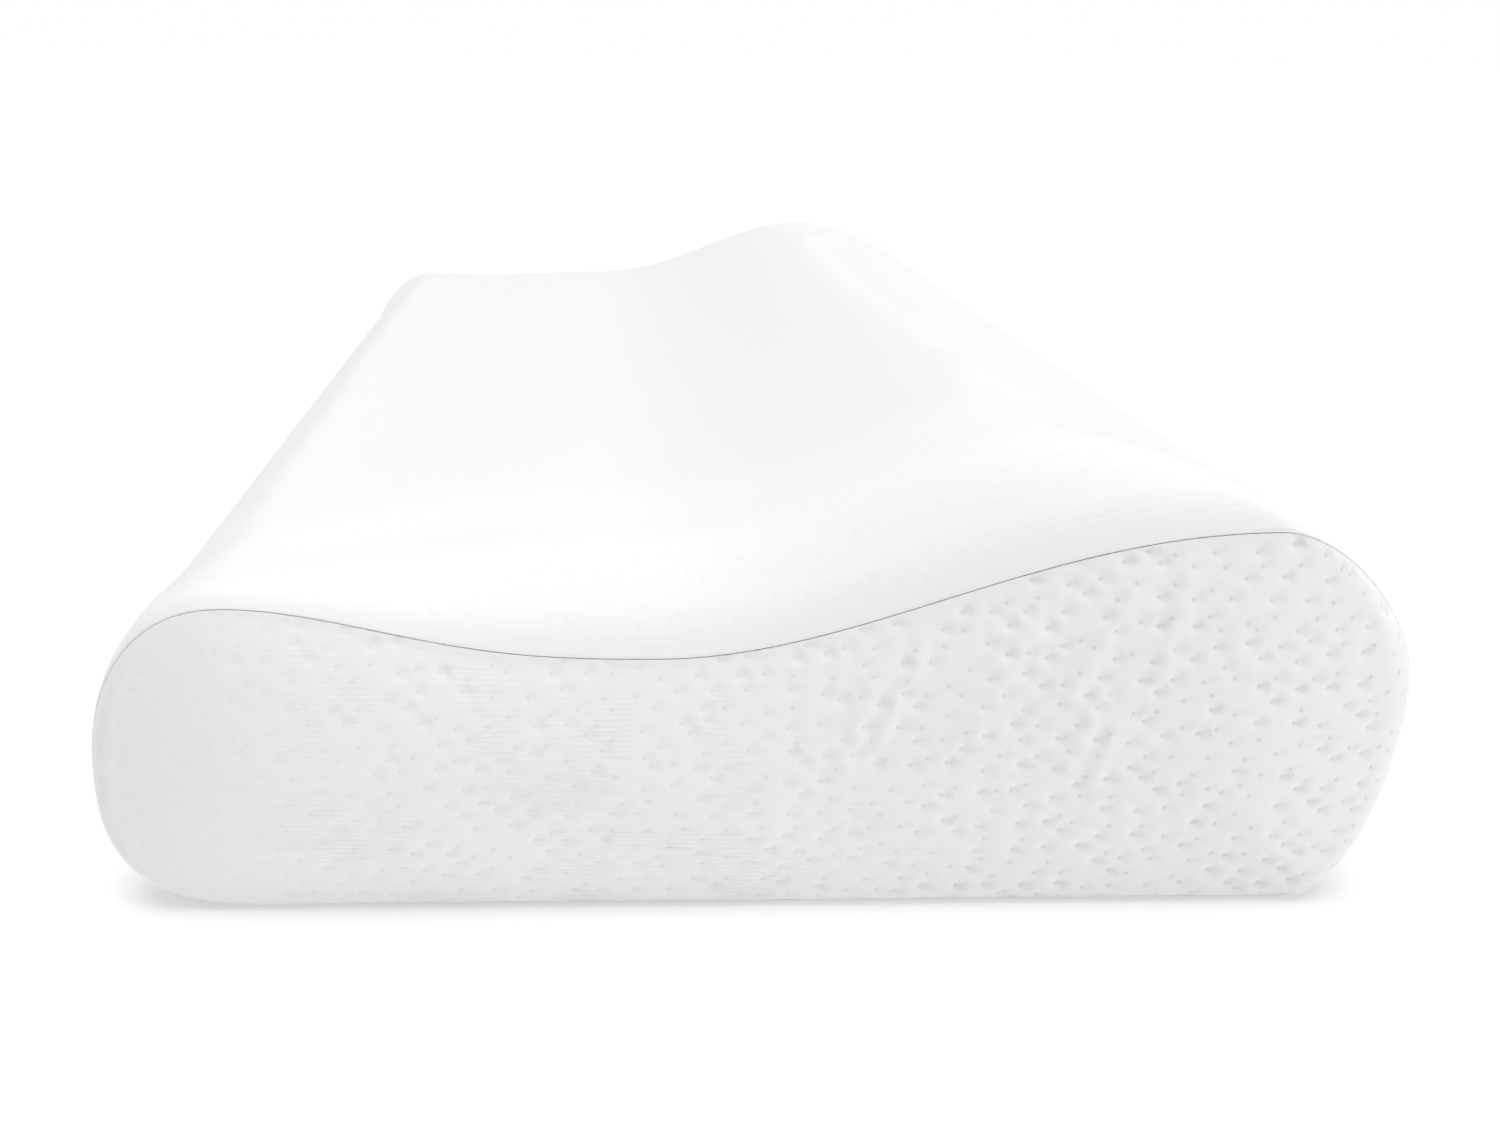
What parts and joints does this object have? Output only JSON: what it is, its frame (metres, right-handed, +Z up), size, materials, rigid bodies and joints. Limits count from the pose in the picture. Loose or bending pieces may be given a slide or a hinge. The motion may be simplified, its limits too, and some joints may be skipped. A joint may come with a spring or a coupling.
{
  "type": "cervical pillow",
  "caption": "Contoured neck pillow: a filled knit-covered body with a low and a high lobe, flat underneath, closed by a sewn bean-shaped panel at each end.",
  "frame": {"origin": "on the surface the pillow lies on, under the middle of its bounding box", "axes": "+Z up, +Y along the pillow's length towards the back end panel, +X across it towards the high lobe"},
  "size_m": [0.3, 0.506, 0.1087],
  "materials": {
    "cover_knit": "white padded jacquard knit with small dimples, matt"
  },
  "bodies": {
    "root": {"pillow_body": "cover_knit", "end_panel_front": "cover_knit", "end_panel_back": "cover_knit"}
  },
  "joints": []
}
